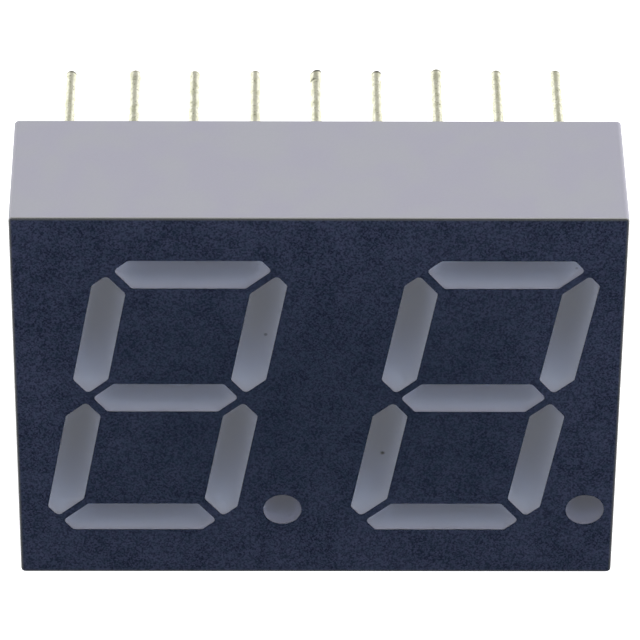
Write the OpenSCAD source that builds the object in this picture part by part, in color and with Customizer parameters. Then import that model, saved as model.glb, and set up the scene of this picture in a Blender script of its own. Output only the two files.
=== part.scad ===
// Two digit seven segment display, standing on its long bottom side.
// The face looks along -Y, the pins point along +Y, and X runs to the right across the face.
// The digits are drawn upright about their own centre and then leaned, so that a bar's
// mitred ends, its cavity, its lamp chip and its tracks all follow from the same outline.

/* [Digits] */
// Height of a digit
digit_h = 14.2; // [12:0.1:18]
// Width of a digit before it leans
digit_w = 7.94; // [7:0.02:10]
// Lean of the digits to the right, in degrees
slant = 10; // [6:0.5:11]
// Width of the four upright bars
upright_w = 1.44; // [1.2:0.02:1.6]
// Width of the top and bottom bars
level_w = 1.42; // [1.2:0.02:1.6]
// Width of the middle bar
middle_w = 1.46; // [1.2:0.02:1.6]
// Gap between two bars, square to their mitred ends
bar_gap = 0.34; // [0.3:0.02:0.5]
// Leg of the cut across a digit's outer corners
corner_cut = 1.26; // [0.8:0.02:1.6]
// Radius that rounds a bar's corners
corner_r = 0.18; // [0.1:0.02:0.24]

/* [Decimal points] */
// Diameter of a point on the face
point_d = 1.6; // [1.3:0.05:2]
// Gap between a digit and its point, before the lean
point_gap = 1.12; // [0.8:0.02:1.6]
// Height of a point's lowest edge above the digit's foot
point_lift = 0.3; // [0.1:0.05:1]
// Gap between a point and the next digit, before the lean
next_gap = 2.04; // [1.6:0.02:4]

/* [Body] */
// Dark margin above and below the digits
face_margin = 2.25; // [2.2:0.05:5]
// Gap left between two bodies set side by side on the digits' pitch
stack_gap = 0.4; // [0.2:0.05:0.5]
// How far the pair of digits sits right of the body's middle
digits_right = 0.08; // [0:0.02:0.1]
// How far the digits sit above the body's middle
digits_up = 0.1; // [0:0.02:0.2]
// Depth of the body, from the inked face to the rear rim
body_d = 6.7; // [6:0.1:10]
// Radius of the four edges that run front to back
edge_r = 0.2; // [0.1:0.05:0.5]
// Leg of the small cut round the face's edges, which stays bare of ink
front_edge = 0.04; // [0.02:0.01:0.08]
// Wall round the rear recess
rim_wall = 0.6; // [0.4:0.05:0.62]
// Thickness of the dark ink on the face
ink_t = 0.05; // [0.03:0.01:0.1]

/* [Reflector cavities] */
// Length of a bar cavity's throat at the board
throat_l = 2.4; // [1.8:0.1:3]
// Width of a bar cavity's throat, and of a point's, at the board
throat_w = 1.0; // [0.96:0.02:1.1]
// Depth of the upright lip behind the face, before the walls start to slope
lip_t = 0.35; // [0.2:0.05:0.8]
// How far outside the outline the sloping walls start
flare = 0.1; // [0.06:0.02:0.2]
// Plastic left in front of the cored pockets between the bars
core_skin = 1.3; // [0.8:0.1:2]
// Wall left between a cored pocket and the bars' outlines
core_wall = 0.8; // [0.6:0.05:1.2]

/* [Circuit board] */
// Thickness of the circuit board
board_t = 1.0; // [0.8:0.1:1.2]
// Play between the board and the recess
board_play = 0.1; // [0.05:0.05:0.2]
// Thickness of the copper, which lies flush in the board
copper_t = 0.04; // [0.03:0.01:0.07]
// Width of a track
track_w = 0.3; // [0.2:0.02:0.32]
// Side of a square chip pad or wire pad
pad_w = 0.44; // [0.4:0.02:0.5]
// Diameter of the round pad at each pin
land_d = 1.3; // [1.2:0.05:1.5]
// Diameter of a plated through hole
via_d = 0.3; // [0.2:0.05:0.4]

/* [Lamp chips and wires] */
// Side of a lamp chip
chip_w = 0.3; // [0.24:0.02:0.32]
// Height of a lamp chip
chip_t = 0.25; // [0.15:0.01:0.3]
// Diameter of the glue spot under a chip
glue_d = 0.38; // [0.32:0.02:0.39]
// Thickness of the glue spot
glue_t = 0.02; // [0.01:0.01:0.05]
// Distance from a chip's centre to the foot of its wire
bond_span = 0.6; // [0.56:0.02:0.66]
// Thickness of a bond wire
wire_t = 0.03; // [0.02:0.005:0.04]
// Rise of a wire's arch above a straight run
wire_rise = 0.25; // [0.15:0.01:0.4]
// Length of the flat foot at each end of a wire
wire_foot = 0.06; // [0.04:0.01:0.08]

/* [Pins and seal] */
// Diameter of a bare pin
pin_d = 0.46; // [0.4:0.02:0.5]
// Thickness of the solder dip on a pin
dip_t = 0.02; // [0.01:0.01:0.05]
// Bare length of a pin between the rear rim and its solder dip
dip_gap = 0.2; // [0.15:0.05:1]
// Reach of the pins behind the rear rim
pin_reach = 6.0; // [3:0.1:12]
// Distance from the body's top or bottom side to the nearer row of pins
row_inset = 1.73; // [1.6:0.01:1.8]
// Length of a pin's head in front of the board
pin_head = 0.3; // [0.2:0.05:0.4]
// Play round a pin in its hole in the board
hole_play = 0.05; // [0.03:0.01:0.08]
// Play round and in front of a pin's head in the body
head_play = 0.2; // [0.1:0.02:0.22]
// Radius of a solder joint on its pad
solder_r = 0.6; // [0.5:0.02:0.62]
// Height of a solder joint up its pin
solder_h = 0.45; // [0.3:0.05:0.5]
// Thickness of the resin poured over the back of the board
seal_t = 0.65; // [0.6:0.05:0.9]
// Depth of the resin's surface below the rear rim
seal_drop = 0.3; // [0.1:0.05:0.5]

/* [Hidden] */
$fn = 48;
// The two rows take nine pins each, and the digits stand five pins apart
ROW_PINS = 9;
PINS_PER_DIGIT = 5;

// Sizes that follow from the digits and the margins round them
digit_pitch = digit_w + point_gap + point_d + next_gap;
body_w = 2 * digit_pitch - stack_gap;
body_h = digit_h + 2 * face_margin;
pin_pitch = digit_pitch / PINS_PER_DIGIT;
row_gap = body_h - 2 * row_inset;
dip_r = pin_d / 2 + dip_t;

// Planes from front to back; the part's origin is under the middle of its whole depth
Y_FACE = -(body_d + pin_reach) / 2;
Y_INK = Y_FACE + ink_t;
Y_LIP = Y_FACE + lip_t;
Y_RIM = Y_FACE + body_d;
Y_SEAL = Y_RIM - seal_drop;
Y_BACK = Y_SEAL - seal_t;
Y_BOARD = Y_BACK - board_t;
Y_DIP = Y_RIM + dip_gap;
Y_TIP = Y_RIM + pin_reach;
CORE_FRONT = Y_FACE + core_skin;

// The digits' places and half sizes
DIGIT_Z = body_h / 2 + digits_up;
HALF_W = digit_w / 2;
HALF_H = digit_h / 2;
// Bars end on 45 degree lines: CUT is x + y along a corner cut, MITRE is y - x along a mitre
CUT = HALF_W + HALF_H - corner_cut;
MITRE = HALF_H - HALF_W;
// Half the gap between two bars, measured along an axis instead of square to the 45 degree line
STEP = bar_gap / sqrt(2);
UPRIGHT_X = HALF_W - upright_w / 2;
// Sides of a corner's rounding
ROUND_STEPS = 3;
// Sides of a bond wire's arch
ARCH_STEPS = 8;
// Point where a solder joint's hollow flank bends: share of its width, share of its height
FLANK = [0.35, 0.4];
// Overlap that keeps a cut's end clear of the face it breaks through
EPS = 0.2;

BARS = ["a", "b", "c", "d", "e", "f", "g"];
LAMPS = concat(BARS, ["point"]);
BOTH = [1, 2];

function digit_x(digit) = digits_right + (digit - 1.5) * digit_pitch;
function unit(v) = v / norm(v);

// A point of the upright drawing, leaned and moved to its digit's place on the face
function place(p, digit) = [digit_x(digit) + p.x + p.y * tan(slant), DIGIT_Z + p.y];

// Replaces each corner of an outline with a short arc of radius r
function rounded(pts, r) = [
    for (i = [0 : len(pts) - 1])
        let (
            p = pts[i],
            back = unit(pts[(i + len(pts) - 1) % len(pts)] - p),
            ahead = unit(pts[(i + 1) % len(pts)] - p),
            half = acos(back * ahead) / 2,
            centre = p + unit(back + ahead) * r / sin(half),
            start = p + back * r / tan(half) - centre,
            end = p + ahead * r / tan(half) - centre,
            turn = 180 - 2 * half
        )
        for (k = [0 : ROUND_STEPS])
            centre + (start * sin(turn * (1 - k / ROUND_STEPS)) + end * sin(turn * k / ROUND_STEPS)) / sin(turn)
];

// Right half of the top bar's outline: corner cut, mitred tip, inner corner
TOP_HALF = [
    [HALF_W - corner_cut, HALF_H],
    [(CUT - MITRE - STEP) / 2, (CUT + MITRE + STEP) / 2],
    [HALF_H - level_w - MITRE - STEP, HALF_H - level_w]
];
// The upper right bar's outline, from its outer edge round its two tips
UPPER_RIGHT = [
    [HALF_W, CUT - HALF_W],
    [(CUT - MITRE + STEP) / 2, (CUT + MITRE - STEP) / 2],
    [HALF_W - upright_w, HALF_W - upright_w + MITRE - STEP],
    [HALF_W - upright_w, upright_w / 2 + STEP],
    [UPRIGHT_X, STEP],
    [HALF_W, upright_w / 2 + STEP]
];
MIDDLE_HALF = [
    [UPRIGHT_X - STEP - middle_w / 2, middle_w / 2],
    [UPRIGHT_X - STEP, 0],
    [UPRIGHT_X - STEP - middle_w / 2, -middle_w / 2]
];

function flipped(pts, sx, sy) = [for (p = pts) [p.x * sx, p.y * sy]];
function reversed(pts) = [for (i = [len(pts) - 1 : -1 : 0]) pts[i]];
function both_halves(pts) = concat(pts, reversed(flipped(pts, -1, 1)));

function is_level(bar) = bar == "a" || bar == "d" || bar == "g";
function side(bar) = bar == "b" || bar == "c" ? 1 : -1;
function above(bar) = bar == "a" || bar == "b" || bar == "f" ? 1 : -1;

function bar_outline(bar) =
    bar == "g" ? both_halves(MIDDLE_HALF)
    : is_level(bar) ? flipped(both_halves(TOP_HALF), 1, above(bar))
    : flipped(UPPER_RIGHT, side(bar), above(bar));

// Outline of a bar as it shows on the face
function bar_points(bar, digit) = rounded([for (p = bar_outline(bar)) place(p, digit)], corner_r);

// Middle of a lamp's cavity, in the upright drawing
function lamp_mid(lamp) =
    lamp == "point" ? [HALF_W + point_gap + point_d / 2, point_d / 2 + point_lift - HALF_H]
    : lamp == "g" ? [0, 0]
    : is_level(lamp) ? [0, above(lamp) * (HALF_H - level_w / 2)]
    : [side(lamp) * UPRIGHT_X, above(lamp) * (UPPER_RIGHT[1].y + STEP) / 2];

// Direction on the face from a lamp's chip to the foot of its wire: an upright's wire leads away from
// the middle bar, so that the chips lie nearest each other and the track that joins them stays clear
function bond_way(lamp) =
    above(lamp) * (lamp == "point" ? [0, 1] : is_level(lamp) ? [1, 0] : [sin(slant), cos(slant)]);
function chip_at(lamp, digit) = place(lamp_mid(lamp), digit) - bond_way(lamp) * bond_span / 2;
function foot_at(lamp, digit) = place(lamp_mid(lamp), digit) + bond_way(lamp) * bond_span / 2;

// Pins count from the bottom left along the bottom row, and back along the top row
function in_bottom_row(n) = n <= ROW_PINS;
function pin_x(n) = (in_bottom_row(n) ? n - 1 : 2 * ROW_PINS - n) * pin_pitch - (ROW_PINS - 1) * pin_pitch / 2;
function pin_at(n) = [pin_x(n), body_h / 2 + (in_bottom_row(n) ? -1 : 1) * row_gap / 2];

// The pin that feeds each lamp, and the pin that all of a digit's chips share
function fed_by(lamp, digit) =
    let (n = search([lamp], LAMPS)[0])
    digit == 1 ? [16, 15, 3, 2, 1, 18, 17, 4][n] : [11, 10, 8, 6, 5, 12, 7, 9][n];
function shared_pin(digit) = digit == 1 ? 14 : 13;
// The lamps whose feed runs on the back of the board, and those whose feed leaves sideways on the front
function feeds_behind(lamp) = lamp == "c" || lamp == "g";
function feeds_sideways(lamp, digit) = digit == 2 && (lamp == "d" || lamp == "e");

// Draws on the face's plane, as seen from the front, and gives the drawing depth from y0 to y1
module slab(y0, y1) {
    translate([0, y1, 0])
        rotate([90, 0, 0])
            linear_extrude(y1 - y0)
                children();
}

// A round bar along Y from y0 to y1, at a point of the face's plane
module rod(at, r, y0, y1) {
    translate([at.x, y0, at.y])
        rotate([-90, 0, 0])
            cylinder(r = r, h = y1 - y0);
}

// The body's outline from the front, drawn in by inset
module body_outline(inset) {
    r = edge_r - inset;
    translate([0, body_h / 2]) {
        square([body_w - 2 * edge_r, body_h - 2 * inset], center = true);
        square([body_w - 2 * inset, body_h - 2 * edge_r], center = true);
        for (sx = [-1, 1], sy = [-1, 1])
            translate([sx * (body_w / 2 - edge_r), sy * (body_h / 2 - edge_r)])
                circle(r);
    }
}

// Profile of a block that runs from 0 to size, with the edges of its front face cut at 45 degrees
module cut_profile(size) {
    polygon([
        [Y_INK + front_edge + EPS, -EPS], [Y_INK, front_edge],
        [Y_INK, size - front_edge], [Y_INK + front_edge + EPS, size + EPS],
        [Y_RIM + EPS, size + EPS], [Y_RIM + EPS, -EPS]
    ]);
}

// The body's outer form behind the ink: its outline, less the four cuts round the face
module blank() {
    intersection() {
        slab(Y_INK, Y_RIM)
            body_outline(0);
        rotate([90, 0, 90])
            linear_extrude(2 * body_w, center = true)
                cut_profile(body_h);
        translate([body_w / 2, 0, 0])
            rotate(90)
                linear_extrude(4 * body_h, center = true)
                    cut_profile(body_w);
    }
}

module recess_outline(play) {
    w = body_w - 2 * (rim_wall + play);
    h = body_h - 2 * (rim_wall + play);
    translate([-w / 2, body_h / 2 - h / 2])
        square([w, h]);
}

// Profile of a cavity across its length or width: an upright lip, then walls that slope to the throat
module taper_profile(half_face, half_throat) {
    polygon([
        [-half_face, Y_FACE - EPS], [half_face, Y_FACE - EPS], [half_face, Y_LIP],
        [half_throat, Y_BOARD], [-half_throat, Y_BOARD], [-half_face, Y_LIP]
    ]);
}

// Slopes the two walls that face left and right; lean turns them with an upright bar
module taper_x(at, half_face, half_throat, lean) {
    translate([at.x, 0, at.y])
        rotate([0, lean, 0])
            linear_extrude(digit_h, center = true)
                taper_profile(half_face, half_throat);
}

// Slopes the two walls that face up and down
module taper_z(at, half_face, half_throat) {
    translate([at.x, 0, at.y])
        rotate([90, 0, 90])
            linear_extrude(digit_h, center = true)
                rotate(90)
                    mirror([0, 1])
                        taper_profile(half_face, half_throat);
}

// The space of one bar, from the plane y0 back to the board
module bar_space(bar, digit, y0) {
    at = place(lamp_mid(bar), digit);
    width = bar == "g" ? middle_w : is_level(bar) ? level_w : upright_w * cos(slant);
    half_l = bar == "g" ? UPRIGHT_X - STEP : is_level(bar) ? TOP_HALF[1].x : (UPPER_RIGHT[1].y - STEP) / 2;
    intersection() {
        slab(y0, Y_BOARD)
            polygon(bar_points(bar, digit));
        if (is_level(bar)) {
            taper_x(at, half_l + flare, throat_l / 2, 0);
        } else {
            taper_x(at, width / 2 + flare, throat_w / 2, slant);
        }
        if (is_level(bar)) {
            taper_z(at, width / 2 + flare, throat_w / 2);
        } else {
            taper_z(at, half_l + flare, throat_l / 2);
        }
    }
}

// The space of one decimal point: a round lip and a cone behind it
module point_space(digit, y0) {
    at = place(lamp_mid("point"), digit);
    rod(at, point_d / 2, y0, Y_LIP);
    translate([at.x, Y_LIP, at.y])
        rotate([-90, 0, 0])
            cylinder(r1 = point_d / 2, r2 = throat_w / 2, h = Y_BOARD - Y_LIP);
}

module lamp_space(lamp, digit, y0) {
    if (lamp == "point") {
        point_space(digit, y0);
    } else {
        bar_space(lamp, digit, y0);
    }
}

// Pocket cored into the plastic inside one loop of a digit, above or below its middle bar
module loop_core(digit, way) {
    x = HALF_W - upright_w - core_wall;
    low = middle_w / 2 + core_wall;
    high = HALF_H - level_w - core_wall;
    slab(CORE_FRONT, Y_BOARD + EPS)
        polygon([for (p = [[-x, low], [x, low], [x, high], [-x, high]]) place([p.x, p.y * way], digit)]);
}

// Pocket cored between the digits, above the first digit's decimal point
module gap_core() {
    x = (digit_pitch - digit_w) / 2 - core_wall;
    low = point_d + point_lift - HALF_H + core_wall;
    high = HALF_H - corner_cut;
    slab(CORE_FRONT, Y_BOARD + EPS)
        polygon([for (p = [[-x, low], [x, low], [x, high], [-x, high]])
            place([p.x + digit_pitch / 2, p.y], 1)]);
}

module housing() {
    color([0.68, 0.68, 0.71])
        difference() {
            blank();
            slab(Y_BOARD, Y_RIM + EPS)
                recess_outline(0);
            for (digit = BOTH, lamp = LAMPS)
                lamp_space(lamp, digit, Y_FACE);
            for (digit = BOTH, way = [-1, 1])
                loop_core(digit, way);
            gap_core();
            for (n = [1 : 2 * ROW_PINS])
                rod(pin_at(n), pin_d / 2 + head_play, Y_BOARD - pin_head - head_play, Y_BOARD + EPS);
        }
}

// Ink on the face between its cut edges, with a window for each bar and point
module face_ink() {
    color([0.15, 0.18, 0.26])
        slab(Y_FACE, Y_INK)
            difference() {
                body_outline(front_edge);
                for (digit = BOTH) {
                    for (bar = BARS)
                        polygon(bar_points(bar, digit));
                    translate(place(lamp_mid("point"), digit))
                        circle(point_d / 2);
                }
            }
}

// Cast resin that fills one cavity, flush with the face, round its chip and wire
module lamp_fill(lamp, digit) {
    color([0.55, 0.56, 0.6])
        difference() {
            lamp_space(lamp, digit, Y_FACE);
            chip(lamp, digit);
            glue(lamp, digit);
            wire(lamp, digit);
        }
}

module chip(lamp, digit) {
    at = chip_at(lamp, digit);
    color([0.75, 0.3, 0.25])
        translate([at.x, Y_BOARD - glue_t - chip_t / 2, at.y])
            cube([chip_w, chip_t, chip_w], center = true);
}

module glue(lamp, digit) {
    rod(chip_at(lamp, digit), glue_d / 2, Y_BOARD - glue_t, Y_BOARD);
}

module chip_glue() {
    color([0.7, 0.7, 0.68])
        for (digit = BOTH, lamp = LAMPS)
            glue(lamp, digit);
}

// Underside of a bond wire at share u of its run: distance from the chip, height over the board
function arch(u) = [bond_span * u, (glue_t + chip_t) * (1 - u) + 4 * wire_rise * u * (1 - u)];
function arch_normal(u) = unit([glue_t + chip_t - 4 * wire_rise * (1 - 2 * u), bond_span]);

module wire(lamp, digit) {
    start = glue_t + chip_t;
    under = [for (k = [0 : ARCH_STEPS]) arch(k / ARCH_STEPS)];
    over = [for (k = [ARCH_STEPS : -1 : 0]) arch(k / ARCH_STEPS) + arch_normal(k / ARCH_STEPS) * wire_t];
    at = chip_at(lamp, digit);
    way = bond_way(lamp);
    translate([at.x, Y_BOARD, at.y])
        rotate([0, -atan2(way.y, way.x), 0])
            rotate([90, 0, 0])
                rotate([-90, 0, 0])
                    linear_extrude(wire_t, center = true)
                        mirror([0, 1])
                            polygon(concat(
                                [[-wire_foot, start]], under, [[bond_span + wire_foot, 0]],
                                [[bond_span + wire_foot, wire_t]], over, [[-wire_foot, start + wire_t]]
                            ));
}

module bond_wires() {
    color([0.85, 0.7, 0.35])
        for (digit = BOTH, lamp = LAMPS)
            wire(lamp, digit);
}

// A straight track from p to q
module track(p, q) {
    run = q - p;
    translate(p)
        rotate(atan2(run.y, run.x))
            translate([-track_w / 2, -track_w / 2])
                square([norm(run) + track_w, track_w]);
}

// A track with one square corner: sideways first, or up or down first
module elbow(p, q, sideways) {
    corner = sideways ? [q.x, p.y] : [p.x, q.y];
    track(p, corner);
    track(corner, q);
}

module pad(at) {
    translate(at)
        square(pad_w, center = true);
}

module lands() {
    for (n = [1 : 2 * ROW_PINS])
        translate(pin_at(n))
            circle(land_d / 2);
}

module pin_holes() {
    for (n = [1 : 2 * ROW_PINS])
        translate(pin_at(n))
            circle(pin_d / 2 + hole_play);
}

// The ring that joins a digit's chips, its spurs to the middle bar and the point, and its run to the shared pin
module shared_track(digit) {
    for (lamp = ["b", "f"])
        elbow(chip_at("a", digit), chip_at(lamp, digit), false);
    for (lamp = ["c", "e"])
        elbow(chip_at("d", digit), chip_at(lamp, digit), false);
    track(chip_at("b", digit), chip_at("c", digit));
    track(chip_at("f", digit), chip_at("e", digit));
    track(chip_at("g", digit), place([UPRIGHT_X, 0], digit));
    elbow(chip_at("point", digit), chip_at("c", digit), false);
    elbow(chip_at(digit == 1 ? "b" : "f", digit), pin_at(shared_pin(digit)), true);
}

module front_tracks() {
    color([0.8, 0.5, 0.3])
        slab(Y_BOARD, Y_BOARD + copper_t)
            difference() {
                union() {
                    lands();
                    for (digit = BOTH) {
                        shared_track(digit);
                        for (lamp = LAMPS) {
                            pad(chip_at(lamp, digit));
                            pad(foot_at(lamp, digit));
                            if (!feeds_behind(lamp))
                                elbow(
                                    foot_at(lamp, digit),
                                    pin_at(fed_by(lamp, digit)),
                                    feeds_sideways(lamp, digit)
                                );
                        }
                    }
                }
                pin_holes();
            }
}

module rear_tracks() {
    color([0.8, 0.5, 0.3]) {
        slab(Y_BACK - copper_t, Y_BACK)
            difference() {
                union() {
                    lands();
                    for (digit = BOTH, lamp = LAMPS)
                        if (feeds_behind(lamp)) {
                            pad(foot_at(lamp, digit));
                            track(foot_at(lamp, digit), pin_at(fed_by(lamp, digit)));
                        }
                }
                pin_holes();
            }
        for (digit = BOTH, lamp = LAMPS)
            if (feeds_behind(lamp))
                rod(foot_at(lamp, digit), via_d / 2, Y_BOARD + copper_t, Y_BACK);
    }
}

module circuit_board() {
    color([0.3, 0.45, 0.3])
        difference() {
            slab(Y_BOARD, Y_BACK)
                difference() {
                    recess_outline(board_play);
                    pin_holes();
                }
            front_tracks();
            rear_tracks();
        }
}

// A pin: a straight round wire, thicker where it was dipped in solder, with a domed tip
module pin(n) {
    at = pin_at(n);
    color([0.75, 0.74, 0.72]) {
        rod(at, pin_d / 2, Y_BOARD - pin_head, Y_DIP);
        rod(at, dip_r, Y_DIP, Y_TIP - dip_r);
        translate([at.x, Y_TIP - dip_r, at.y])
            sphere(dip_r);
    }
}

// Solder round each pin on the back of the board: a cone with a hollow flank
module solder_joints() {
    r = pin_d / 2;
    color([0.7, 0.71, 0.73])
        for (n = [1 : 2 * ROW_PINS])
            translate([pin_at(n).x, Y_BACK, pin_at(n).y])
                rotate([-90, 0, 0])
                    rotate_extrude()
                        polygon([
                            [r, 0], [solder_r, 0],
                            [r + (solder_r - r) * FLANK.x, solder_h * FLANK.y],
                            [r, solder_h]
                        ]);
}

module rear_seal() {
    color([0.6, 0.61, 0.64])
        difference() {
            slab(Y_BACK, Y_SEAL)
                recess_outline(0);
            solder_joints();
            for (n = [1 : 2 * ROW_PINS])
                rod(pin_at(n), pin_d / 2, Y_BOARD, Y_RIM);
        }
}

housing();
face_ink();
lamp_fill("a", 1);  // digit_1_bar_a
lamp_fill("b", 1);  // digit_1_bar_b
lamp_fill("c", 1);  // digit_1_bar_c
lamp_fill("d", 1);  // digit_1_bar_d
lamp_fill("e", 1);  // digit_1_bar_e
lamp_fill("f", 1);  // digit_1_bar_f
lamp_fill("g", 1);  // digit_1_bar_g
lamp_fill("point", 1);  // digit_1_point
lamp_fill("a", 2);  // digit_2_bar_a
lamp_fill("b", 2);  // digit_2_bar_b
lamp_fill("c", 2);  // digit_2_bar_c
lamp_fill("d", 2);  // digit_2_bar_d
lamp_fill("e", 2);  // digit_2_bar_e
lamp_fill("f", 2);  // digit_2_bar_f
lamp_fill("g", 2);  // digit_2_bar_g
lamp_fill("point", 2);  // digit_2_point
chip("a", 1);  // digit_1_chip_a
chip("b", 1);  // digit_1_chip_b
chip("c", 1);  // digit_1_chip_c
chip("d", 1);  // digit_1_chip_d
chip("e", 1);  // digit_1_chip_e
chip("f", 1);  // digit_1_chip_f
chip("g", 1);  // digit_1_chip_g
chip("point", 1);  // digit_1_chip_point
chip("a", 2);  // digit_2_chip_a
chip("b", 2);  // digit_2_chip_b
chip("c", 2);  // digit_2_chip_c
chip("d", 2);  // digit_2_chip_d
chip("e", 2);  // digit_2_chip_e
chip("f", 2);  // digit_2_chip_f
chip("g", 2);  // digit_2_chip_g
chip("point", 2);  // digit_2_chip_point
chip_glue();
bond_wires();
circuit_board();
front_tracks();
rear_tracks();
solder_joints();
rear_seal();
pin(1);  // pin_1
pin(2);  // pin_2
pin(3);  // pin_3
pin(4);  // pin_4
pin(5);  // pin_5
pin(6);  // pin_6
pin(7);  // pin_7
pin(8);  // pin_8
pin(9);  // pin_9
pin(10);  // pin_10
pin(11);  // pin_11
pin(12);  // pin_12
pin(13);  // pin_13
pin(14);  // pin_14
pin(15);  // pin_15
pin(16);  // pin_16
pin(17);  // pin_17
pin(18);  // pin_18
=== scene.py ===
"""Looks of a two digit seven segment display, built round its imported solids.

The face looks along -Y, the pins point along +Y and Z runs up the digits. Sizes in the
classes are in millimetres, and become metres where a mesh or a node takes them.
"""

import logging
import math
from dataclasses import dataclass, field
from enum import Enum
from typing import ClassVar

import bmesh
import bpy
from mathutils import Matrix, Vector


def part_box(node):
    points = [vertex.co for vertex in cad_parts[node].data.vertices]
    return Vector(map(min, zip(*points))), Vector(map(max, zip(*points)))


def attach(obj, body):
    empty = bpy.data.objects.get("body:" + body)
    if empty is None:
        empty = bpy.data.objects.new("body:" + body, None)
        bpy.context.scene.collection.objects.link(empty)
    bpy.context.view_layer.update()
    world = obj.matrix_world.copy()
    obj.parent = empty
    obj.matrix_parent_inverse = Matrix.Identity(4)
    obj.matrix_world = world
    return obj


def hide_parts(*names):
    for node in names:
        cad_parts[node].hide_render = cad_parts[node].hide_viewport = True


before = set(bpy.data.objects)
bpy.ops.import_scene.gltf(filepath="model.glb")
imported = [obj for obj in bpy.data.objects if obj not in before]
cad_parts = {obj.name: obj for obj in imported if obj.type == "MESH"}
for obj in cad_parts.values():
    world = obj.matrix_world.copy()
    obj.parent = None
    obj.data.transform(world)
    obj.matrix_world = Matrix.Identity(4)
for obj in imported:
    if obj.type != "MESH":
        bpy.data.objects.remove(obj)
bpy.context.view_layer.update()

LOG = logging.getLogger("display")
MM = 0.001
BODY = "root"
DIGITS = (1, 2)
BARS = "abcdefg"
FACE_WIDTH = 25.0
FACE_HEIGHT = 18.7
# In metres: corners nearer than this are one.
MERGED_BELOW = 1e-7
Colour =tuple[float, float, float]
Point = tuple[float, float, float]
Span = tuple[float, float]
Socket = bpy.types.NodeSocket
Feed = Socket | float | tuple
Piece = bpy.types.Object
# Where most values of a noise pattern lie, and a narrower span that gives clearer blots.
NOISE: Span = (0.3, 0.7)
BLOTS: Span = (0.35, 0.65)


class Tip(Enum):
    """What the solder dip left at the end of a pin."""

    PLAIN = "plain"
    SWOLLEN = "swollen"
    COLLARED = "collared"


@dataclass(frozen=True)
class PinShape:
    """How one pin differs from a straight one, in millimetres.

    Attributes:
        bend: How far it leans to the right.
        short: How much shorter it was cut.
        skew: How much longer its right side is at the cut.
        end_shade: How dark the painted shade at its cut end is, from 0 to 1.
        tip: What the dip left at its end.
    """

    bend: float = 0.0
    short: float = 0.05
    skew: float = 0.0
    end_shade: float = 0.4
    tip: Tip = Tip.PLAIN


class NodeBench:
    """Adds and joins the nodes of one tree."""

    def __init__(self, tree: bpy.types.NodeTree) -> None:
        """Starts on an empty tree.

        Args:
            tree: The shader or geometry tree to fill.
        """
        self.tree = tree
        self.tree.nodes.clear()

    def add(self, kind: str, **settings: object) -> bpy.types.Node:
        """Adds a node.

        Args:
            kind: The node's type name.
            **settings: Properties set on the node itself.

        Returns:
            The new node.
        """
        node = self.tree.nodes.new(kind)
        for name, value in settings.items():
            setattr(node, name, value)
        return node

    def feed(self, target: Socket, value: Feed) -> None:
        """Links a socket to another, or gives it a constant.

        Args:
            target: The input socket.
            value: The socket or the constant that it takes.
        """
        if isinstance(value, Socket):
            self.tree.links.new(value, target)
        else:
            target.default_value = value

    def maths(self, operation: str, first: Feed, second: Feed = 0.0) -> Socket:
        """Joins two numbers with a Math node.

        Args:
            operation: The node's operation.
            first: The first number.
            second: The second number, where the operation has one.

        Returns:
            The result's socket.
        """
        node = self.add("ShaderNodeMath", operation=operation)
        self.feed(node.inputs[0], first)
        self.feed(node.inputs[1], second)
        return node.outputs[0]

    def minus(self, first: Feed, second: Feed) -> Socket:
        """Takes the second number from the first."""
        return self.maths("SUBTRACT", first, second)

    def times(self, first: Feed, *others: Feed) -> Feed:
        """Multiplies numbers from left to right.

        Args:
            first: The first number.
            *others: The numbers that it is multiplied by.

        Returns:
            The product's socket.
        """
        product = first
        for other in others:
            product = self.maths("MULTIPLY", product, other)
        return product

    def spread(self, value: Feed, low: float, high: float, start: float = 0.0,
               end: float = 1.0) -> Socket:
        """Maps a number smoothly from one range to another.

        Args:
            value: The number.
            low: Where the first range starts.
            high: Where it ends.
            start: The result at low.
            end: The result at high.

        Returns:
            The result's socket.
        """
        node = self.add("ShaderNodeMapRange", interpolation_type="SMOOTHSTEP")
        for socket, given in zip(node.inputs, (value, low, high, start, end)):
            self.feed(socket, given)
        return node.outputs["Result"]

    def parts(self, vector: Socket) -> list[Socket]:
        """Splits a vector.

        Args:
            vector: The vector's socket.

        Returns:
            The sockets of its three parts.
        """
        node = self.add("ShaderNodeSeparateXYZ")
        self.feed(node.inputs[0], vector)
        return list(node.outputs)

    def vector(self, x: Feed, y: Feed, z: Feed) -> Socket:
        """Joins three numbers to a vector.

        Args:
            x: The first part.
            y: The second part.
            z: The third part.

        Returns:
            The vector's socket.
        """
        node = self.add("ShaderNodeCombineXYZ")
        for socket, given in zip(node.inputs, (x, y, z)):
            self.feed(socket, given)
        return node.outputs[0]

    def moved(self, vector: Feed, way: Feed) -> Socket:
        """Adds two vectors.

        Args:
            vector: The first vector.
            way: The vector that is added to it.

        Returns:
            The sum's socket.
        """
        node = self.add("ShaderNodeVectorMath", operation="ADD")
        self.feed(node.inputs[0], vector)
        self.feed(node.inputs[1], way)
        return node.outputs[0]


@dataclass(frozen=True)
class Relief:
    """The fine relief of a surface.

    Attributes:
        strength: How much of it shows, from 0 to 1.
        depth: Its whole depth in millimetres.
    """

    strength: float
    depth: float


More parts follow.
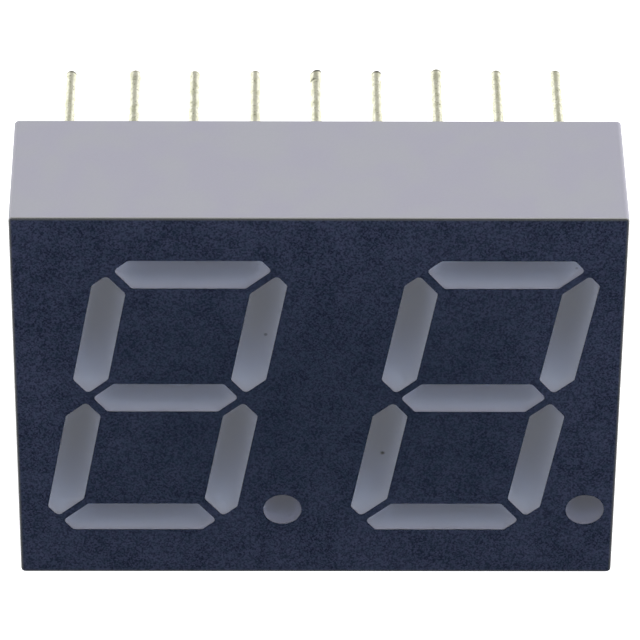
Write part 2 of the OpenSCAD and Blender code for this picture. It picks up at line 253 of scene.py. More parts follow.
class FinishTree(NodeBench):
    """A material with one Principled shader, fed by patterns on Object coordinates."""

    # The Mix node holds sockets for every kind of value. These are the ones for colours.
    MIX_INPUTS: ClassVar[tuple[int, int, int]] = (0, 6, 7)
    MIX_OUTPUT: ClassVar[int] = 2

    def __init__(self, name: str) -> None:
        """Makes the material.

        Args:
            name: The finish's plain name.
        """
        self.material = bpy.data.materials.new(name)
        self.material.use_nodes = True
        super().__init__(self.material.node_tree)
        self.output = self.add("ShaderNodeOutputMaterial")
        self.shader = self.add("ShaderNodeBsdfPrincipled")
        self.feed(self.output.inputs["Surface"], self.shader.outputs["BSDF"])
        self.place = self.add("ShaderNodeTexCoord").outputs["Object"]

    def grain(self, size: float, detail: float = 2.0,
              stretch: Point = (1.0, 1.0, 1.0)) -> Socket:
        """Makes a noise pattern.

        Args:
            size: Width of its spots in millimetres.
            detail: How many finer layers it has.
            stretch: How much finer it is along each axis.

        Returns:
            The socket of its value, about 0.5 in the mean.
        """
        turned = self.add("ShaderNodeMapping", vector_type="POINT")
        self.feed(turned.inputs["Vector"], self.place)
        self.feed(turned.inputs["Scale"], stretch)
        noise = self.add("ShaderNodeTexNoise")
        self.feed(noise.inputs["Vector"], turned.outputs["Vector"])
        self.feed(noise.inputs["Scale"], 1.0 / (size * MM))
        self.feed(noise.inputs["Detail"], detail)
        return noise.outputs["Fac"]

    def mixed(self, share: Feed, first: Feed, second: Feed) -> Socket:
        """Mixes two colours.

        Args:
            share: The share of the second colour.
            first: The first colour.
            second: The second colour.

        Returns:
            The socket of the mixed colour.
        """
        node = self.add("ShaderNodeMix", data_type="RGBA")
        for index, value in zip(self.MIX_INPUTS, (share, first, second)):
            self.feed(node.inputs[index], self.opaque(value))
        return node.outputs[self.MIX_OUTPUT]

    @staticmethod
    def opaque(value: Feed) -> Feed:
        """Gives a plain colour its alpha, and leaves a number or a socket as it is."""
        return (*value, 1.0) if isinstance(value, tuple) else value

    def near(self, point: Point, inner: float, outer: float) -> Socket:
        """Marks a round spot.

        Args:
            point: The spot's middle in millimetres.
            inner: Radius inside which the mark is full.
            outer: Radius at which it ends.

        Returns:
            The socket of the mark, from 0 to 1.
        """
        node = self.add("ShaderNodeVectorMath", operation="DISTANCE")
        self.feed(node.inputs[0], self.place)
        self.feed(node.inputs[1], tuple(part * MM for part in point))
        return self.spread(node.outputs["Value"], inner * MM, outer * MM, 1.0, 0.0)

    def outward(self) -> Socket:
        """Measures how far a point lies outside the body's outline, seen from the front.

        Returns:
            The socket of the distance in metres, below zero inside the outline.
        """
        x, _, z = self.parts(self.place)
        half_width, half_height = FACE_WIDTH / 2 * MM, FACE_HEIGHT / 2 * MM
        across = self.minus(self.maths("ABSOLUTE", x), half_width)
        middle = self.maths("ABSOLUTE", self.minus(z, half_height))
        return self.maths("MAXIMUM", across, self.minus(middle, half_height))

    def bumped(self, height: Socket, relief: Relief) -> None:
        """Gives the surface its relief.

        Args:
            height: The socket of the relief's height, from 0 to 1.
            relief: Its strength and depth.
        """
        node = self.add("ShaderNodeBump")
        self.feed(node.inputs["Strength"], relief.strength)
        self.feed(node.inputs["Distance"], relief.depth * MM)
        self.feed(node.inputs["Height"], height)
        self.feed(self.shader.inputs["Normal"], node.outputs["Normal"])

    def clouded(self, colour: Colour, density: float) -> None:
        """Lets the material swallow light along its depth.

        Args:
            colour: What it lets pass.
            density: How much it swallows in each metre.
        """
        node = self.add("ShaderNodeVolumeAbsorption")
        self.feed(node.inputs["Color"], (*colour, 1.0))
        self.feed(node.inputs["Density"], density)
        self.feed(self.output.inputs["Volume"], node.outputs["Volume"])

    def finish(self, **sockets: Feed) -> bpy.types.Material:
        """Feeds the shader's own sockets.

        Args:
            **sockets: A value for each socket, named with underscores for spaces.

        Returns:
            The finished material.
        """
        for name, value in sockets.items():
            self.feed(self.shader.inputs[name.replace("_", " ")], self.opaque(value))
        return self.material


@dataclass(frozen=True)
class HousingPlastic:
    """Light grey reflector plastic: textured outside, smooth and paler in the cavities, with
    painted shade on the lip next to the face.

    Attributes:
        lip_shade_from: Where along the depth the painted shade on the lip gives way to the walls'
            colour.
        cut_from: Where along the depth the edge's colour gives way to the skin's.
        skin: How deep the skin's colour reaches.
        skin_fade: Over what depth it ends.
    """

    tone: Colour = (0.365, 0.36, 0.43)
    warm: Colour = (0.375, 0.377, 0.425)
    dust: Colour = (0.2, 0.2, 0.24)
    dust_share: float = 0.05
    mirror: Colour = (0.90, 0.93, 0.96)
    # Painted shade: the lip next to the face is darker than the walls behind it.
    lip_shade: Colour = (0.60, 0.57, 0.62)
    lip_shade_from: Span = (-6.2, -5.6)
    cut: Colour = (0.20, 0.20, 0.20)
    cut_from: Span = (-6.275, -6.255)
    skin: float = 0.5
    skin_fade: float = 0.1
    cloud: float = 1.6
    texture: float = 0.09
    layers: float = 3.0
    roughness: Span = (0.46, 0.56)
    refraction: float = 1.58
    relief: Relief = Relief(0.35, 0.012)

    def make(self) -> bpy.types.Material:
        """Builds the material.

        Returns:
            The material.
        """
        tree = FinishTree("housing_plastic")
        inside = tree.spread(tree.outward(), -(self.skin + self.skin_fade) * MM, -self.skin * MM,
                             1.0, 0.0)
        clouds = tree.spread(tree.grain(self.cloud, self.layers), *BLOTS)
        grain = tree.grain(self.texture, self.layers)
        clouded = tree.mixed(clouds, self.tone, self.warm)
        skin = tree.mixed(tree.spread(grain, *NOISE, 0.0, self.dust_share), clouded, self.dust)
        _, y, _ = tree.parts(tree.place)
        # depth runs from the painted shade on the lip to the paler walls behind it.
        edge, depth = (tree.spread(y, low * MM, high * MM)
                       for low, high in (self.cut_from, self.lip_shade_from))
        shade = tree.mixed(inside, tree.mixed(edge, self.cut, skin),
                           tree.mixed(depth, self.lip_shade, self.mirror))
        tree.bumped(grain, self.relief)
        return tree.finish(Base_Color=shade, IOR=self.refraction,
                           Roughness=tree.spread(clouds, 0.0, 1.0, *self.roughness))


@dataclass(frozen=True)
class FaceInk:
    """Dark navy ink, matt and finely grained, with a painted highlight along its edges and painted
    light that pales it towards the face's sides.

    Attributes:
        pale: The colour of the lightest grains towards the face's edges, where light is painted
            in.
        edge_light_over: How far from the edges the painted light begins.
        grain_span: Which part of the grain's pattern goes from dark to light.
        grain_share: How light the darkest and the lightest grains are.
    """

    tone: Colour = (0.001, 0.003, 0.011)
    light: Colour = (0.0125, 0.0170, 0.034)
    pale: Colour = (0.0215, 0.0260, 0.0515)
    teal: Colour = (0.006, 0.017, 0.028)
    # Painted highlight: a paler band, fade wide, where the face's rounded edge catches light.
    edge_highlight: Colour = (0.056, 0.058, 0.056)
    fade: float = 0.15
    # Painted light: the ink grows paler towards the face's sides.
    edge_light_over: float = 8.0
    edge_light_share: float = 0.8
    grain: float = 0.078
    grain_span: Span = (0.33, 0.67)
    grain_share: Span = (0.02, 0.82)
    cloud: float = 1.2
    cloud_share: float = 0.18
    patch: float = 0.35
    patch_span: Span = (0.4, 0.62)
    patch_share: float = 0.18
    roughness: Span = (0.55, 0.68)
    refraction: float = 1.45
    shine: float = 0.05
    relief: Relief = Relief(0.4, 0.01)

    def make(self) -> bpy.types.Material:
        """Builds the material.

        Returns:
            The material.
        """
        tree = FinishTree("face_ink")
        outward = tree.outward()
        # Painted highlight along the face's edges.
        highlit_rim = tree.spread(outward, -self.fade * MM, 0.0)
        grain = tree.grain(self.grain)
        share = tree.maths("ADD", tree.spread(grain, *self.grain_span, *self.grain_share),
                           tree.spread(tree.grain(self.cloud), *BLOTS, 0.0, self.cloud_share))
        patches = tree.spread(tree.grain(self.patch), *self.patch_span, 0.0, self.patch_share)
        # Painted light, paler towards the face's sides.
        edge_light = tree.mixed(tree.spread(outward, -self.edge_light_over * MM, 0.0, 0.0, self.edge_light_share),
                          self.light, self.pale)
        inked = tree.mixed(patches, tree.mixed(share, self.tone, edge_light), self.teal)
        tree.bumped(grain, self.relief)
        return tree.finish(Base_Color=tree.mixed(highlit_rim, inked, self.edge_highlight),
                           Roughness=tree.spread(grain, *NOISE, *self.roughness),
                           IOR=self.refraction, Specular_IOR_Level=self.shine)


@dataclass(frozen=True)
class LensResin:
    """Milky cast resin, half see-through, with the few specks that lie in it.

    Attributes:
        clear: How much of the light goes in, from 0 to 1.
        smoke: The colour that it lets pass.
        specks: Each speck's x and z, its radius and how dark it is.
        speck_edge: Where a speck starts to fade and ends, as shares of its radius.
    """

    name: str = "lens_resin"
    tone: Colour = (0.86, 0.90, 1.0)
    clear: float = 0.983
    density: float = 300.0
    haze: float = 0.62
    smoke: Colour = (0.07, 0.16, 0.38)
    milk: Colour = (0.80, 0.83, 0.92)
    milk_share: float = 0.12
    cloud: float = 0.9
    layers: float = 3.0
    front: float = -6.35
    specks: tuple[tuple[float, float, float, float], ...] = (
        (-2.15, 12.78, 0.07, 0.7), (2.72, 6.53, 0.09, 1.0), (10.45, 16.2, 0.06, 0.5))
    speck_tone: Colour = (0.01, 0.01, 0.01)
    speck_edge: Span = (0.5, 1.5)
    ripple: float = 0.12
    refraction: float = 1.5
    shine: float = 0.15
    relief: Relief = Relief(0.2, 0.006)

    def make(self) -> bpy.types.Material:
        """Builds the material.

        Returns:
            The material.
        """
        tree = FinishTree(self.name)
        clouds = tree.spread(tree.grain(self.cloud, self.layers), *NOISE, 0.0, self.milk_share)
        shade = tree.mixed(clouds, self.tone, self.milk)
        for x, z, radius, depth in self.specks:
            inner, outer = (radius * share for share in self.speck_edge)
            mark = tree.near((x, self.front, z), inner, outer)
            shade = tree.mixed(tree.times(mark, depth), shade, self.speck_tone)
        tree.bumped(tree.grain(self.ripple, self.layers), self.relief)
        tree.clouded(self.smoke, self.density)
        return tree.finish(Base_Color=shade, Roughness=self.haze, IOR=self.refraction,
                           Specular_IOR_Level=self.shine, Transmission_Weight=self.clear)


@dataclass(frozen=True)
class SealResin:
    """Milky resin poured over the back of the board, glossy on top."""

    tone: Colour = (0.60, 0.61, 0.63)
    milk: Colour = (0.52, 0.53, 0.54)
    clear: float = 0.55
    cloud: float = 2.5
    cloud_layers: float = 3.0
    ripple: float = 1.5
    roughness: float = 0.22
    refraction: float = 1.5
    relief: Relief = Relief(0.3, 0.02)

    def make(self) -> bpy.types.Material:
        """Builds the material.

        Returns:
            The material.
        """
        tree = FinishTree("seal_resin")
        clouds = tree.spread(tree.grain(self.cloud, self.cloud_layers), *NOISE)
        tree.bumped(tree.grain(self.ripple), self.relief)
        return tree.finish(Base_Color=tree.mixed(clouds, self.tone, self.milk),
                           Roughness=self.roughness, IOR=self.refraction,
                           Transmission_Weight=self.clear)


@dataclass(frozen=True)
class BoardCoat:
    """Blue green coating over woven glass or over copper."""

    name: str = "board"
    tone: Colour = (0.04, 0.20, 0.30)
    light: Colour = (0.07, 0.25, 0.36)
    thread: float = 0.35
    weave_share: float = 0.25
    cloud: float = 2.0
    cloud_share: float = 0.3
    layers: float = 3.0
    roughness: float = 0.45
    refraction: float = 1.5
    relief: Relief = Relief(0.3, 0.01)

    def make(self) -> bpy.types.Material:
        """Builds the material.

        Returns:
            The material.
        """
        tree = FinishTree(self.name)
        x, _, z = tree.parts(tree.place)
        turn = 2 * math.pi / (self.thread * MM)
        across, up = (tree.maths("SINE", tree.times(part, turn)) for part in (x, z))
        woven = tree.spread(tree.times(across, up), -1.0, 1.0)
        clouds = tree.spread(tree.grain(self.cloud, self.layers), *NOISE, 0.0, self.cloud_share)
        share = tree.maths("ADD", tree.times(woven, self.weave_share), clouds)
        tree.bumped(woven, self.relief)
        return tree.finish(Base_Color=tree.mixed(share, self.tone, self.light),
                           Roughness=self.roughness, IOR=self.refraction)


@dataclass(frozen=True)
class BrightMetal:
    """A metal with spots of tarnish and a fine relief.

    Attributes:
        dulling: How much rougher the spots are.
        tarnish_span: Which part of the spots' pattern goes from clean to tarnished.
        relief_share: The relief's depth as a share of a spot's width.
    """

    name: str
    tone: Colour
    tarnish: Colour
    spot: float
    roughness: float
    dulling: float = 0.2
    layers: float = 4.0
    tarnish_span: Span = (0.45, 0.7)
    tarnish_share: float = 0.8
    relief_strength: float = 0.35
    relief_share: float = 0.05

    def make(self) -> bpy.types.Material:
        """Builds the material.

        Returns:
            The material.
        """
        tree = FinishTree(self.name)
        spots = tree.grain(self.spot, self.layers)
        share = tree.spread(spots, *self.tarnish_span, 0.0, self.tarnish_share)
        tree.bumped(spots, Relief(self.relief_strength, self.spot * self.relief_share))
        dull = tree.spread(spots, *NOISE, self.roughness, self.roughness + self.dulling)
        return tree.finish(Base_Color=tree.mixed(share, self.tone, self.tarnish), Metallic=1.0,
                           Roughness=dull)


@dataclass(frozen=True)
class LampCrystal:
    """Sawn lamp crystal with a paler top.

    Attributes:
        top_fade: From where to where round the top its colour ends.
        saw_stretch: How much finer the saw's marks are along each axis.
    """

    tone: Colour = (0.45, 0.12, 0.06)
    score: Colour = (0.2, 0.05, 0.03)
    score_share: float = 0.4
    top: Colour = (0.6, 0.45, 0.25)
    top_plane: float = -1.86
    top_fade: Span = (-0.02, 0.03)
    saw: float = 0.03
    saw_layers: float = 2.0
    saw_stretch: Point = (1.0, 4.0, 1.0)
    roughness: float = 0.3
    refraction: float = 2.4
    relief: Relief = Relief(0.3, 0.004)

    def make(self) -> bpy.types.Material:
        """Builds the material.

        Returns:
            The material.
        """
        tree = FinishTree("lamp_chip")
        _, y, _ = tree.parts(tree.place)
        low, high = ((self.top_plane + shift) * MM for shift in self.top_fade)
        share = tree.spread(y, low, high, 1.0, 0.0)
        sawn = tree.grain(self.saw, self.saw_layers, self.saw_stretch)
        tree.bumped(sawn, self.relief)
        shade = tree.mixed(tree.spread(sawn, *NOISE, 0.0, self.score_share), self.tone, self.score)
        return tree.finish(Base_Color=tree.mixed(share, shade, self.top),
                           Roughness=self.roughness, IOR=self.refraction)


@dataclass(frozen=True)
class DippedWire:
    """Wire dipped in solder: uneven, pale, with dark specks, and painted shade at its cut end and
    in its collar's groove.

    Attributes:
        lump_stretch: How much finer the lumps are along each axis.
        dull_span: Which part of the lumps' pattern goes from bright to dull.
        pit_span: Which part of the pits' pattern goes from none to full.
        relief_shares: How much of the relief the lumps and the pits make.
    """

    tone: Colour = (0.84, 0.83, 0.68)
    dull: Colour = (0.62, 0.62, 0.45)
    speck: Colour = (0.16, 0.15, 0.09)
    # Painted shade: the colour of the shade painted at the pin's end and in its collar's groove.
    end_shade: Colour = (0.05, 0.045, 0.035)
    mark: str = "painted_shade"
    lump: float = 0.22
    lump_layers: float = 3.0
    lump_stretch: Point = (1.0, 0.5, 1.0)
    pit: float = 0.07
    dull_span: Span = (0.38, 0.68)
    dull_share: float = 0.85
    pit_span: Span = (0.60, 0.68)
    pit_share: float = 0.75
    roughness: Span = (0.14, 0.26)
    relief_shares: Span = (0.7, 0.3)
    relief: Relief = Relief(0.4, 0.010)

    def make(self) -> bpy.types.Material:
        """Builds the material.

        Returns:
            The material.
        """
        tree = FinishTree("tinned_wire")
        lumps = tree.grain(self.lump, self.lump_layers, self.lump_stretch)
        pits = tree.grain(self.pit)
        base = tree.mixed(tree.spread(lumps, *self.dull_span, 0.0, self.dull_share),
                          self.tone, self.dull)
        pitted = tree.mixed(tree.spread(pits, *self.pit_span, 0.0, self.pit_share),
                            base, self.speck)
        # The stored painted shade of the end and the collar.
        painted_shade = tree.add("ShaderNodeAttribute", attribute_name=self.mark).outputs["Fac"]
        height = tree.maths("ADD", *(tree.times(pattern, share) for pattern, share
                                     in zip((lumps, pits), self.relief_shares)))
        tree.bumped(height, self.relief)
        return tree.finish(Base_Color=tree.mixed(painted_shade, pitted, self.end_shade), Metallic=1.0,
                           Roughness=tree.spread(lumps, *NOISE, *self.roughness))


@dataclass(frozen=True)
class PaleFloor:
    """Plain white floor, bright enough that nothing shades it."""

    tone: Colour = (0.93, 0.93, 0.93)
    shaded: Colour = (0.90, 0.90, 0.90)
    cloud: float = 40.0
    roughness: float = 0.8
    glow_tone: Colour = (1.0, 1.0, 1.0)
    glow: float = 0.75

    def make(self) -> bpy.types.Material:
        """Builds the material.

        Returns:
            The material.
        """
        tree = FinishTree("pale_floor")
        clouds = tree.spread(tree.grain(self.cloud), *NOISE)
        return tree.finish(Base_Color=tree.mixed(clouds, self.tone, self.shaded),
                           Roughness=self.roughness, Emission_Color=self.glow_tone,
                           Emission_Strength=self.glow)


def dress(piece: Piece, material: bpy.types.Material) -> None:
    """Gives a piece its finish.

    Args:
        piece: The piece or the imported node.
        material: The finish.
    """
    piece.data.materials.clear()
    piece.data.materials.append(material)


def stand_for(piece: Piece, slot: str, *nodes: str) -> Piece:
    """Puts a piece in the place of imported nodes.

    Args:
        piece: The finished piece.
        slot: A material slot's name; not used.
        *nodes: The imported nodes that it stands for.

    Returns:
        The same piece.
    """
    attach(piece, BODY)
    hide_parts(*nodes)
    return piece


@dataclass
class MouldedBody:
    """The reflector housing with the ink on its face."""

    plastic: HousingPlastic = field(default_factory=HousingPlastic)
    ink: FaceInk = field(default_factory=FaceInk)

    def build(self) -> list[Piece]:
        """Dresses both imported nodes.

        Returns:
            The dressed nodes.
        """
        housing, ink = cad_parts["housing"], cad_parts["face_ink"]
        dress(housing, self.plastic.make())
        dress(ink, self.ink.make())
        return [housing, ink]


@dataclass
class CastBars:
    """The sixteen islands of resin, wetting the walls of their cavities.

    Attributes:
        wetting: How far the resin reaches into the walls.
        flat_angle: Below what angle in degrees two faces are one.
    """

    resin: LensResin = field(default_factory=LensResin)
    # Painted light: a lighter copy of the same resin for the upright bars.
    upright_lit_resin: LensResin = LensResin("upright_lit_resin", (0.88, 0.92, 1.0), clear=0.970)
    # Painted shade: a darker, more clouded copy of the same resin for the points.
    point_shaded_resin: LensResin = LensResin("point_shaded_lens", (0.62, 0.65, 0.79), 0.981, 620.0)
    level_bars: str = "adg"
    wetting: float = 0.02
    sunk: float = 0.008
    flat_angle: float = 0.5

    def cast(self, node: str, material: bpy.types.Material) -> Piece:
        """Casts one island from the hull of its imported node.

        Args:
            node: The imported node.
            material: The resin.

        Returns:
            The island, which stands for the node.
        """
        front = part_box(node)[0].y
        form = bmesh.new()
        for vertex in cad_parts[node].data.vertices:
            form.verts.new(vertex.co)
        bmesh.ops.remove_doubles(form, verts=form.verts, dist=MERGED_BELOW)
        hull = bmesh.ops.convex_hull(form, input=form.verts)
        spare = {part for part in hull["geom_interior"] + hull["geom_unused"]
                 if isinstance(part, bmesh.types.BMVert)}
        bmesh.ops.delete(form, geom=list(spare), context="VERTS")
        bmesh.ops.dissolve_limit(form, angle_limit=math.radians(self.flat_angle),
                                 verts=form.verts, edges=form.edges)
        bmesh.ops.recalc_face_normals(form, faces=form.faces)
        form.normal_update()
        spots = {vertex: vertex.co + vertex.normal * vertex.calc_shell_factor() * self.wetting * MM
                 for vertex in form.verts}
        for vertex, place in spots.items():
            on_face = vertex.co.y < front + self.wetting * MM
            vertex.co = (place.x, front + self.sunk * MM, place.z) if on_face else place
        mesh = bpy.data.meshes.new(node + "_resin")
        form.to_mesh(mesh)
        form.free()
        piece = bpy.data.objects.new(node + "_resin", mesh)
        bpy.context.scene.collection.objects.link(piece)
        dress(piece, material)
        return stand_for(piece, "lens_resin", node)

    def build(self) -> list[Piece]:
        """Casts every bar and point of both digits.

        Returns:
            The islands.
        """
        level, upright_lit = self.resin.make(), self.upright_lit_resin.make()
        # deep is the copy of the resin with painted shade, for the points.
        deep = self.point_shaded_resin.make()
        pieces = []
        for digit in DIGITS:
            for letter in BARS:
                finish = level if letter in self.level_bars else upright_lit
                pieces.append(self.cast(f"digit_{digit}_bar_{letter}", finish))
            pieces.append(self.cast(f"digit_{digit}_point", deep))
        return pieces


@dataclass
class LampBoard:
    """The board with its copper, chips, glue, wires and solder."""

    coat: BoardCoat = field(default_factory=BoardCoat)
    crystal: LampCrystal = field(default_factory=LampCrystal)
    copper: BrightMetal = BrightMetal("copper", (0.75, 0.36, 0.20), (0.42, 0.20, 0.12), 0.6, 0.35)
    coated: BoardCoat = BoardCoat("coated_copper", (0.06, 0.23, 0.32), (0.09, 0.27, 0.36))
    glue: BrightMetal = BrightMetal("silver_glue", (0.62, 0.62, 0.60), (0.35, 0.35, 0.34),
                                    0.05, 0.5)
    gold: BrightMetal = BrightMetal("bond_wire", (0.90, 0.66, 0.25), (0.75, 0.50, 0.18), 0.1, 0.2)
    solder: BrightMetal = BrightMetal("solder", (0.70, 0.70, 0.71), (0.42, 0.42, 0.43), 0.25, 0.3)

    def build(self) -> list[Piece]:
        """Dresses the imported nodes.

        Returns:
            The dressed nodes.
        """
        finishes = {"board": self.coat, "lamp_chip": self.crystal, "copper": self.copper,
                    "coated": self.coated, "silver_glue": self.glue, "bond_wire": self.gold,
                    "solder": self.solder}
        made = {name: finish.make() for name, finish in finishes.items()}
        slots = {"circuit_board": "board", "rear_tracks": "copper", "chip_glue": "silver_glue",
                 "bond_wires": "bond_wire", "solder_joints": "solder"}
        slots |= {name: "lamp_chip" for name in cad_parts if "_chip_" in name}
        for name, slot in slots.items():
            dress(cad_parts[name], made[slot])
        dress(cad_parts["front_tracks"], made["coated"])
        return [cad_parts[name] for name in ("front_tracks", *slots)]


class Grower(NodeBench):
    """A Geometry Nodes tree with named inputs that ends in one plain mesh."""

    KINDS: ClassVar[dict[type, str]] = {float: "NodeSocketFloat", tuple: "NodeSocketVector"}

    def __init__(self, name: str, inputs: dict[str, float | tuple]) -> None:
        """Makes the tree and its named inputs.

        Args:
            name: The tree's name.
            inputs: The value of each named input.
        """
        super().__init__(bpy.data.node_groups.new(name, "GeometryNodeTree"))
        self.tree.is_modifier = True
        kinds = {key: self.KINDS[type(value)] for key, value in inputs.items()}
        kinds["Finish"] = "NodeSocketMaterial"
        face = self.tree.interface
        self.sockets = {key: face.new_socket(key, in_out="INPUT", socket_type=kind)
                        for key, kind in kinds.items()}
        face.new_socket("Geometry", in_out="OUTPUT", socket_type="NodeSocketGeometry")
        self.given = self.add("NodeGroupInput").outputs
        self.position = self.add("GeometryNodeInputPosition").outputs[0]

    def settle(self, geometry: Socket, place: Feed) -> Socket:
        """Sets where each point of a shape lies.

        Args:
            geometry: The shape.
            place: The place of its points.

        Returns:
            The socket of the moved shape.
        """
        node = self.add("GeometryNodeSetPosition")
        self.feed(node.inputs["Geometry"], geometry)
        self.feed(node.inputs["Position"], place)
        return node.outputs["Geometry"]

    def close(self, geometry: Socket) -> None:
        """Ends the tree: smooth faces, real instances and the finish.

        Args:
            geometry: The whole shape.
        """
        smooth = self.add("GeometryNodeSetShadeSmooth")
        real = self.add("GeometryNodeRealizeInstances")
        finish = self.add("GeometryNodeSetMaterial")
        output = self.add("NodeGroupOutput")
        self.feed(smooth.inputs["Geometry"], geometry)
        self.feed(real.inputs[0], smooth.outputs[0])
        self.feed(finish.inputs["Geometry"], real.outputs[0])
        self.feed(finish.inputs["Material"], self.given["Finish"])
        self.feed(output.inputs[0], finish.outputs[0])

    def grow(self, name: str, material: bpy.types.Material,
             values: dict[str, float | tuple]) -> Piece:
        """Runs the tree once and keeps its result as a plain mesh.

        Args:
            name: The new piece's name.
            material: Its finish.
            values: A value for each named input.

        Returns:
            The new piece, with no modifier left.
        """
        holder = bpy.data.objects.new(name, bpy.data.meshes.new(name + "_seed"))
        bpy.context.scene.collection.objects.link(holder)
        modifier = holder.modifiers.new("grow", "NODES")
        modifier.node_group = self.tree
        for key, value in {**values, "Finish": material}.items():
            modifier[self.sockets[key].identifier] = value
        graph = bpy.context.evaluated_depsgraph_get()
        mesh = bpy.data.meshes.new_from_object(holder.evaluated_get(graph))
        holder.modifiers.remove(modifier)
        seed, holder.data = holder.data, mesh
        bpy.data.meshes.remove(seed)
        mesh.name = name
        return holder


@dataclass
class DippedPins:
    """The eighteen pins, each with its own dip, bend and tip.

    Attributes:
        root: Where the pins' heads lie.
        waver_round: How far the waves change round the pin.
        swell_length: How long the swelling is.
        swell_span: Where it thins and ends, as shares of its length.
        blunt: The square of the share of the radius that the cut end keeps.
        collar_width: Half widths of the collar's groove, where full and where it ends.
        collar_side: Where the groove ends across the pin, from -1 to 1.
        end_length: How far from the tip the painted shade at the end fades and stops.
        end_side: Between which points across the pin the painted shade goes from its least to its
            full.
    """

    wire: DippedWire = field(default_factory=DippedWire)
    count: int = 18
    radius: float = 0.238
    root: float = -1.85
    bend_from: float = 0.35
    bend_over: float = 1.6
    sides: int = 24
    rings: int = 120
    cap_rings: int = 3
    waver: float = 0.005
    waver_size: float = 0.45
    waver_layers: float = 3.0
    waver_round: float = 0.25
    swell: float = 0.026
    swell_length: float = 0.75
    swell_span: Span = (0.4, 1.5)
    dome: float = 0.14
    blunt: float = 0.06
    collar_width: Span = (0.02, 0.09)
    collar_depth: float = 0.03
    # Painted shade in the collar's groove.
    collar_shade: float = 0.8
    collar_side: Span = (-0.7, 0.5)
    end_length: Span = (0.15, 0.3)
    end_side: Span = (-0.9, 0.2)
    end_least: float = 0.35
    shapes: dict[int, PinShape] = field(default_factory=lambda: {
        18: PinShape(-0.195, 0.16, -0.02, 0.9),
        17: PinShape(-0.045, 0.15, 0.02, 0.3, Tip.SWOLLEN),
        16: PinShape(-0.075, 0.17, 0.0, 0.2),
        15: PinShape(-0.06, 0.14, 0.0, 0.4),
        14: PinShape(-0.045, 0.0, 0.12, 1.0, Tip.COLLARED),
        13: PinShape(-0.03, 0.12, 0.03, 1.0),
        12: PinShape(-0.05, 0.02, 0.04, 0.6, Tip.SWOLLEN),
        11: PinShape(-0.045, 0.10, 0.0, 0.5),
        10: PinShape(-0.075, 0.08, -0.02, 0.4),
        2: PinShape(0.03, 0.02),
        3: PinShape(-0.05, 0.03, 0.03, 0.4, Tip.SWOLLEN),
        5: PinShape(0.04, 0.07, -0.04, 0.8),
        6: PinShape(-0.04, 0.1),
        8: PinShape(0.0, 0.04, 0.05, 0.8, Tip.COLLARED),
        9: PinShape(0.05, 0.1, -0.03)})

    def tree(self) -> Grower:
        """Builds the tree that grows one pin along +Y from its root.

        Returns:
            The tree, with named inputs for a pin's sizes.
        """
        grower = Grower("dipped_pin", self.sizes(Vector(), 1.0, 1))
        given, maths, minus, times = grower.given, grower.maths, grower.minus, grower.times
        rod = grower.add("GeometryNodeMeshCylinder", fill_type="TRIANGLE_FAN")
        for socket, value in (("Vertices", self.sides), ("Side Segments", self.rings),
                              ("Fill Segments", self.cap_rings), ("Radius", 1.0), ("Depth", 1.0)):
            grower.feed(rod.inputs[socket], value)
        x, y, z = grower.parts(grower.position)

        # The rings crowd towards the tip, where the shape is finest.
        left = minus(1.0, maths("ADD", z, 0.5))
        along = times(minus(1.0, times(left, left)), given["Length"])
        to_tip = minus(given["Length"], along)

        dome = minus(1.0, maths("MINIMUM", maths("DIVIDE", to_tip, given["Dome"]), 1.0))
        rounded = maths("SQRT", maths("MAXIMUM", minus(1.0, times(dome, dome)), self.blunt))
        thin, gone = (share * self.swell_length * MM for share in self.swell_span)
        swelling = times(grower.spread(to_tip, thin, gone, 1.0, 0.0), given["Swell"])
        full, none = (width * MM for width in self.collar_width)
        ring = grower.spread(maths("ABSOLUTE", minus(to_tip, self.swell_length * MM)),
                             full, none, 1.0, 0.0)
        collar = times(ring, grower.spread(x, *self.collar_side, 1.0, 0.0), given["Collar"])
        reach = times(maths("ADD", maths("ADD", given["Radius"], self.waves(grower, x, y, along)),
                            minus(swelling, times(collar, self.collar_depth * MM))), rounded)

        sway = grower.add("ShaderNodeVectorMath", operation="SCALE")
        grower.feed(sway.inputs[0], given["Bend"])
        grower.feed(sway.inputs["Scale"],
                    grower.spread(along, given["Bend From"], given["Bend To"]))
        lean = times(x, given["Skew"],
                     grower.spread(to_tip, 0.0, self.swell_length * MM, 1.0, 0.0))
        local = grower.vector(times(x, reach), maths("ADD", along, lean), times(y, reach, -1.0))
        place = grower.moved(grower.moved(local, sway.outputs[0]), given["Root"])

        # Stores the painted shade of the end and the collar as the mark.
        marked = grower.add("GeometryNodeStoreNamedAttribute", data_type="FLOAT", domain="POINT")
        grower.feed(marked.inputs["Geometry"], rod.outputs["Mesh"])
        grower.feed(marked.inputs["Name"], self.wire.mark)
        grower.feed(marked.inputs["Value"], self.painted_shade(grower, x, to_tip, collar))
        grower.close(grower.settle(marked.outputs[0], place))
        return grower

    def waves(self, grower: Grower, x: Feed, y: Feed, along: Feed) -> Socket:
        """Makes the solder's waves along a pin.

        Args:
            grower: The pin's tree.
            x: Where a point lies across the pin, from -1 to 1.
            y: Where it lies on the other axis across, from -1 to 1.
            along: How far along the pin it lies, in metres.

        Returns:
            The socket of how far a point stands out, in metres.
        """
        across, aside = (grower.times(part, self.waver_round * MM) for part in (x, y))
        noise = grower.add("ShaderNodeTexNoise", noise_dimensions="4D")
        grower.feed(noise.inputs["Vector"], grower.vector(across, aside, along))
        grower.feed(noise.inputs["W"], grower.given["Seed"])
        grower.feed(noise.inputs["Scale"], 1.0 / (self.waver_size * MM))
        grower.feed(noise.inputs["Detail"], self.waver_layers)
        return grower.times(grower.minus(noise.outputs["Fac"], 0.5), grower.given["Waver"])

